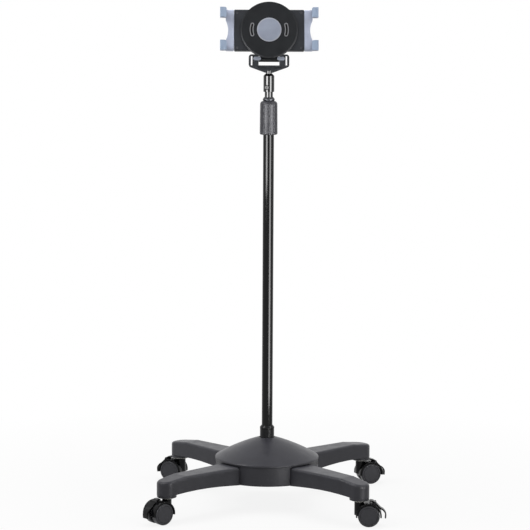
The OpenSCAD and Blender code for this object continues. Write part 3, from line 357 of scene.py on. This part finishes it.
def finger_slots(g, tint):
    """The raised ribs round the finger slots get a painted highlight, pale where their edges would catch
    the light, and the slots get painted shade, dark inside.
    """
    height = g.height(FACING)
    ribs = g.spread(height, 0.0, 1.0, DIAL_FACE + RIB_FROM, DIAL_FACE + RIB_TO)
    near = g.spread(g.distance(DIAL_MIDDLE), 1.0, 0.0, SLOTS_WITHIN, SLOTS_END)
    sunk = g.spread(height, 1.0, 0.0, DIAL_FACE - SLOT_DEEP, DIAL_FACE - SLOT_SHALLOW)
    tint = g.blend(ribs, tint, linear(RIB_HIGHLIGHT_COLOUR))
    return g.blend(g.product(near, sunk), tint, linear(SLOT_SHADE_COLOUR))


RIM_COLOUR = (160, 163, 174)
RIM_FROM, RIM_TO = 0.0026, 0.0018  # distance in from the pad's edge


def pale_rim(g, tint):
    """The pad is paler along its edge."""
    rim = g.spread(g.distance(DIAL_MIDDLE), 0.0, 1.0, PAD_RADIUS - RIM_FROM, PAD_RADIUS - RIM_TO)
    return g.blend(rim, tint, linear(RIM_COLOUR))


# Painted shade: the hooks' lips are darker and bluer than the arms
LIP_SHADE_COLOUR = (151, 167, 190)
LIP_FROM, LIP_TO = 0.010, 0.014  # height over the arm's face
# Painted shade in the corners and recesses behind the hooks' lips
CORNER_SHADE_COLOUR = (92, 104, 128)
CORNER_SHADE_REACH = 0.018
CORNER_SHADE_FULL, CORNER_SHADE_NONE = 0.35, 0.95  # how open a place is


def hook_lips(g, tint):
    """The lips of the hooks are painted darker and bluer, as painted shade on their sloping faces, and
    painted shade darkens the corners behind them.
    """
    lips = g.spread(g.height(FACING), 0.0, 1.0, ARM_FACE + LIP_FROM, ARM_FACE + LIP_TO)
    tint = g.blend(lips, tint, linear(LIP_SHADE_COLOUR))
    unshaded = g.spread(g.corners(CORNER_SHADE_REACH), 0.0, 1.0, CORNER_SHADE_FULL, CORNER_SHADE_NONE)
    return g.blend(unshaded, linear(CORNER_SHADE_COLOUR), tint)


# Materials, and the nodes that have them

BASE = moulded("base_plastic", (48, 48, 53), rough=0.36, grain=2300.0, depth=0.00004,
               edge=0.0030, wear=0.20, specular=0.24)
MAST = painted_tube("mast_black", (7, 7, 8), rough=0.10, specular=0.18)
GLOSS = painted_tube("gloss_black", (9, 9, 11), rough=0.07, specular=0.42)
YOKE = moulded("yoke_black", (65, 68, 73), rough=0.26, grain=2600.0, depth=0.00005,
               edge=0.0012, wear=0.30, specular=0.17)
COLLAR = moulded("collar_black", (18, 18, 20), rough=0.22, grain=2800.0, depth=0.00002,
                 edge=0.0, wear=0.25, specular=0.17)
GRIP = moulded("grip_grey", (60, 60, 65), rough=0.38, grain=1900.0, depth=0.000005,
               edge=0.0, wear=0.22, specular=0.22)
STEEL = turned_metal("steel", (186, 188, 192), rough=0.28)
DARK_STEEL = turned_metal("dark_steel", (62, 63, 66), rough=0.38)
NECK = turned_metal("neck_metal", (66, 67, 70), rough=0.34)
NYLON = moulded("nylon", (214, 213, 206), rough=0.42, grain=1800.0, depth=0.00005,
                edge=0.0005, wear=0.10)
DIAL = moulded("dial_grey", (19, 21, 24), rough=0.38, grain=2100.0, depth=0.00002,
               edge=0.0007, wear=0.35, specular=0.13, paint=finger_slots)
PLATE = moulded("plate_grey", (49, 51, 55), rough=0.36, grain=2000.0, depth=0.00004,
                edge=0.0008, wear=0.30, specular=0.10)
ARMS = moulded("blue_grey", (180, 187, 206), rough=0.38, grain=2200.0, depth=0.00005,
               edge=0.0008, wear=0.18, specular=0.20, paint=hook_lips)
TABS = moulded("tab_blue_grey", (198, 206, 224), rough=0.38, grain=2200.0, depth=0.00005,
               edge=0.0008, wear=0.18, specular=0.20)
PAD = moulded("pad_blue_grey", (139, 146, 162), rough=0.55, grain=1500.0, depth=0.00010,
              edge=0.0005, wear=0.12, specular=0.20, paint=pale_rim)
HOOD = moulded("hood_black", (13, 13, 15), rough=0.18, grain=2600.0, depth=0.00002,
               edge=0.0012, wear=0.30, specular=0.12)
WHEEL = moulded("wheel_grey", (60, 60, 64), rough=0.38, grain=1700.0, depth=0.00008,
                edge=0.0010, wear=0.40, specular=0.20)

NODE_LOOKS = {
    "hub_housing": BASE, "dome_cover": BASE, "leg_screws": STEEL, "caster_bushes": NYLON,
    "mast_collar": COLLAR, "mast_bolt": STEEL, "lower_tube": MAST, "tube_plug": STEEL,
    "clutch_body": NYLON, "clutch_collet": NYLON, "clutch_grip": GRIP, "clutch_neck": NECK,
    "upper_tube": GLOSS, "guide_bush": NYLON, "head_socket": GLOSS, "socket_screw": MAST,
    "yoke": YOKE, "yoke_stem": GLOSS, "hinge_pin": STEEL,
    "release_tab_left": TABS, "release_tab_right": TABS,
    "tab_spring_left": STEEL, "tab_spring_right": STEEL,
    "tilt_bracket": DIAL, "swivel_washer": STEEL, "swivel_screw": STEEL,
    "cradle_back": PLATE, "cradle_front": PLATE, "cradle_screws": NECK,
    "dial_wheel": DIAL, "dial_pad": PAD, "dial_screw": STEEL, "pinion": NYLON,
    "arm_left": ARMS, "arm_right": ARMS,
}
LEG_LOOKS = {"front_left": BASE, "front_right": BASE, "rear_left": BASE, "rear_right": BASE}
CASTER_LOOKS = {"hood": HOOD, "pins": DARK_STEEL, "wheel_left": WHEEL, "wheel_right": WHEEL,
                "brake_lever": HOOD}


def look_of(name):
    if name in NODE_LOOKS:
        return NODE_LOOKS[name]
    kind, rest = name.split("_", 1)
    if kind == "leg":
        return LEG_LOOKS[rest]
    return CASTER_LOOKS[rest.split("_", 1)[1]]


for name, obj in frame["nodes"].items():
    for slot in obj.material_slots:
        slot.material = look_of(name)


# Springs: each spring node is hidden and shown instead by a copy of its mesh, which rides on the body of
# its joint's parent. Springs: a tab presses its spring together, which a rigid node can't show


def add_pressed_springs():
    for joint in frame["joints"]:
        for spring in joint.get("deforming_nodes", []):
            name = spring["node"]
            coil = bpy.data.objects.new(name + "_coil", frame["nodes"][name].data.copy())
            scene.collection.objects.link(coil)
            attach(coil, joint["parent"])
            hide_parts(name)
            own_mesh(coil)


add_pressed_springs()


# Stage: a pale floor, a white surround and soft studio lamps

WHITE = (1.0, 1.0, 1.0, 1.0)
SURROUND_LIGHT = 0.14  # what the surround adds as light
SURROUND_SEEN = 1.0  # how bright it looks
FLOOR_HALF = 30.0
FLOOR_COLOUR = (0.55, 0.55, 0.55, 1.0)
FLOOR_ROUGHNESS = 0.7
# The floor glows white as the surround does, and a little less near the stand, so that shadows show there
FLOOR_GLOW_NEAR, FLOOR_GLOW_FAR = 0.88, 1.0
FLOOR_NEAR, FLOOR_FAR = 0.4, 1.2


def background_rays(nodes, links):
    """1 for rays that show the surround itself: seen directly, mirrored or through glass."""
    path = nodes.new("ShaderNodeLightPath")
    found = path.outputs["Is Camera Ray"]
    for key in ("Is Glossy Ray", "Is Transmission Ray"):
        either = nodes.new("ShaderNodeMath")
        either.operation = "MAXIMUM"
        links.new(found, either.inputs[0])
        links.new(path.outputs[key], either.inputs[1])
        found = either.outputs[0]
    return found


def add_world():
    world = bpy.data.worlds.new("surround")
    world.use_nodes = True
    scene.world = world
    nodes, links = world.node_tree.nodes, world.node_tree.links
    plain = next(n for n in nodes if n.type == "BACKGROUND")
    plain.inputs["Color"].default_value = WHITE
    plain.inputs["Strength"].default_value = SURROUND_LIGHT
    white = nodes.new("ShaderNodeBackground")
    white.inputs["Color"].default_value = WHITE
    white.inputs["Strength"].default_value = SURROUND_SEEN
    mix = nodes.new("ShaderNodeMixShader")
    out = next(n for n in nodes if n.type == "OUTPUT_WORLD")
    links.new(background_rays(nodes, links), mix.inputs[0])
    links.new(plain.outputs[0], mix.inputs[1])
    links.new(white.outputs[0], mix.inputs[2])
    links.new(mix.outputs[0], out.inputs["Surface"])


def add_floor():
    s = FLOOR_HALF
    mesh = bpy.data.meshes.new("floor")
    mesh.from_pydata([(-s, -s, 0.0), (s, -s, 0.0), (s, s, 0.0), (-s, s, 0.0)], [], [(0, 1, 2, 3)])
    floor = bpy.data.objects.new("floor", mesh)
    scene.collection.objects.link(floor)
    g = Graph("floor")
    g.shader.inputs["Base Color"].default_value = FLOOR_COLOUR
    g.shader.inputs["Roughness"].default_value = FLOOR_ROUGHNESS
    glow = g.node("ShaderNodeEmission")
    away = g.distance((0.0, 0.0, 0.0))
    glowing = g.spread(away, FLOOR_GLOW_NEAR, FLOOR_GLOW_FAR, FLOOR_NEAR, FLOOR_FAR)
    mix = g.node("ShaderNodeMixShader")
    out = next(n for n in g.tree.nodes if n.type == "OUTPUT_MATERIAL")
    g.link(g.product(background_rays(g.tree.nodes, g.tree.links), glowing), mix.inputs[0])
    g.link(g.shader.outputs[0], mix.inputs[1])
    g.link(glow.outputs[0], mix.inputs[2])
    g.link(mix.outputs[0], out.inputs["Surface"])
    mesh.materials.append(g.material)


def add_lamp(name, at, look_at, size, power, diffuse=True, mirrored=True, spread=180.0):
    """An area lamp of a width and height, in watts. spread is the full angle of its cone in degrees."""
    data = bpy.data.lights.new(name, "AREA")
    data.shape = "RECTANGLE"
    data.size, data.size_y = size
    data.energy = power
    data.spread = math.radians(spread)
    lamp = bpy.data.objects.new(name, data)
    lamp.location = at
    lamp.rotation_euler = (Vector(look_at) - Vector(at)).to_track_quat("-Z", "Y").to_euler()
    lamp.visible_camera = False
    lamp.visible_diffuse = diffuse
    lamp.visible_glossy = mirrored
    scene.collection.objects.link(lamp)


add_world()
add_floor()
add_lamp("key", at=(1.2, -2.4, 3.2), look_at=(0.0, 0.0, 0.6), size=(1.4, 1.4), power=16.0)
add_lamp("left_box", at=(-1.9, -0.6, 2.4), look_at=(0.0, 0.0, 0.4), size=(1.1, 1.1), power=46.0)
add_lamp("right_box", at=(1.9, -0.6, 2.4), look_at=(0.0, 0.0, 0.4), size=(1.1, 1.1), power=22.0)
# The dome would mirror the top lamp, so it only lights
add_lamp("top", at=(0.2, 0.5, 3.4), look_at=(0.0, 0.0, 0.2), size=(2.2, 1.8), power=70.0,
         mirrored=False)
# The windows are only mirrored, as bright bands on the mast. They face upwards and have a narrow cone,
# so that the leg tops don't mirror them from behind
add_lamp("left_window", at=(-0.82, -1.01, 1.30), look_at=(0.0, 0.0, 1.65), size=(0.75, 1.40),
         power=14.0, diffuse=False, spread=70.0)
add_lamp("right_window", at=(0.82, -1.01, 1.00), look_at=(0.0, 0.0, 1.35), size=(0.72, 2.00),
         power=16.0, diffuse=False, spread=70.0)
